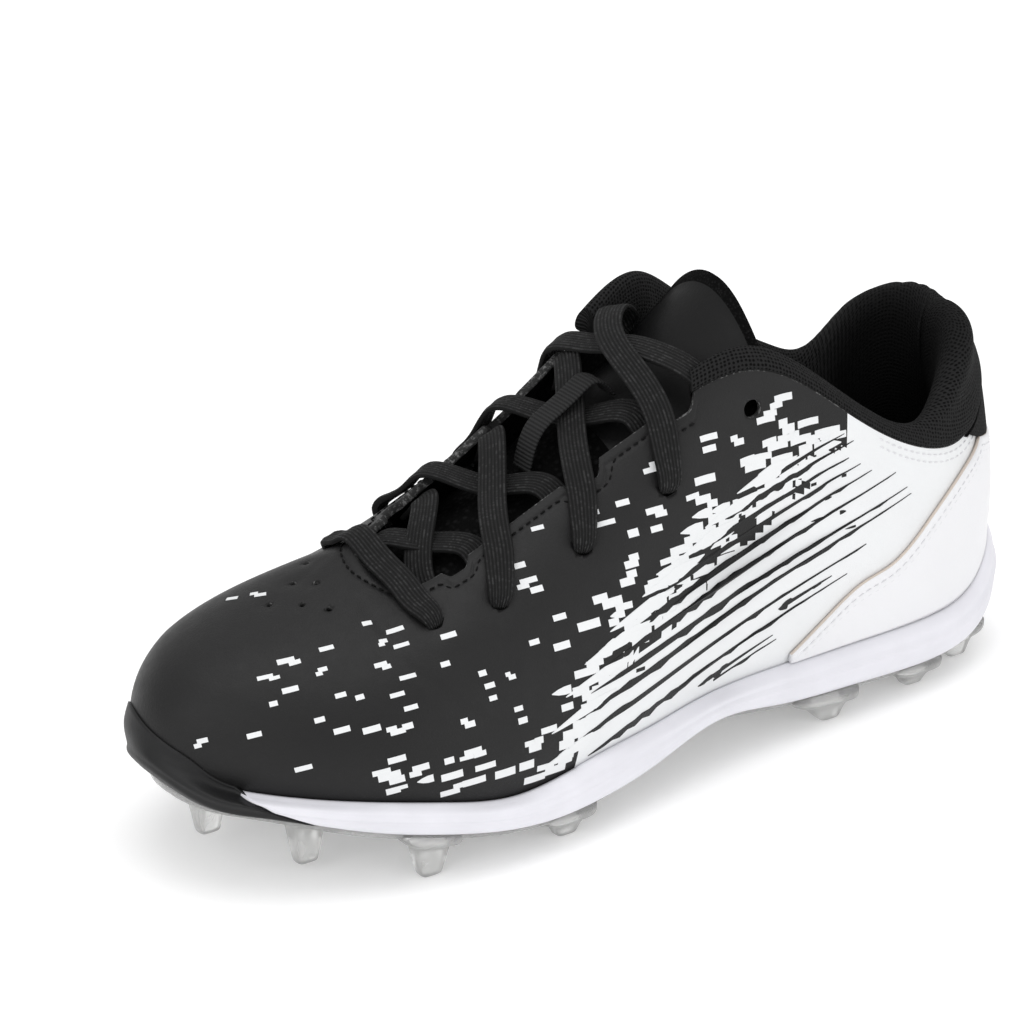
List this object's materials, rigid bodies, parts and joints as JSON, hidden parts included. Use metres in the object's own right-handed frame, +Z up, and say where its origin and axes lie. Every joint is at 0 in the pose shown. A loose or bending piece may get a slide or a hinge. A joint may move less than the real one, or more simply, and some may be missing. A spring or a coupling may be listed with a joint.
{
  "type": "baseball cleat",
  "caption": "Low baseball shoe with moulded studs, a foam midsole, toe guard, hollow lasted upper, padded collar, tongue and crossed flat laces.",
  "frame": {"origin": "middle of the bounding box, on the plane of the stud tips", "axes": "+X to the toe, +Y to the wearer's left, the outer side of this left shoe, +Z up"},
  "size_m": [0.2386, 0.0862, 0.113],
  "materials": {
    "clear_stud": "translucent moulded plastic",
    "white_foam": "smooth moulded foam",
    "black_rubber": "matt",
    "black_lining": "matt",
    "black_synthetic": "satin coated synthetic, printed white to the heel on the outer side",
    "white_synthetic": "satin coated synthetic",
    "black_textile": "knitted mesh over padding",
    "black_tongue": "satin coated synthetic",
    "black_lace": "woven flat lace",
    "black_webbing": "ribbed webbing"
  },
  "bodies": {
    "root": {"outsole": "clear_stud", "midsole": "white_foam", "toe_guard": "black_rubber", "insole": "black_lining", "upper": "black_synthetic", "heel_counter": "white_synthetic", "collar": "black_textile", "tongue": "black_tongue", "lace_bar": "black_lace", "lace_cross_0": "black_lace", "lace_cross_1": "black_lace", "lace_cross_2": "black_lace", "lace_top": "black_lace", "lace_keeper": "black_webbing"}
  },
  "joints": []
}
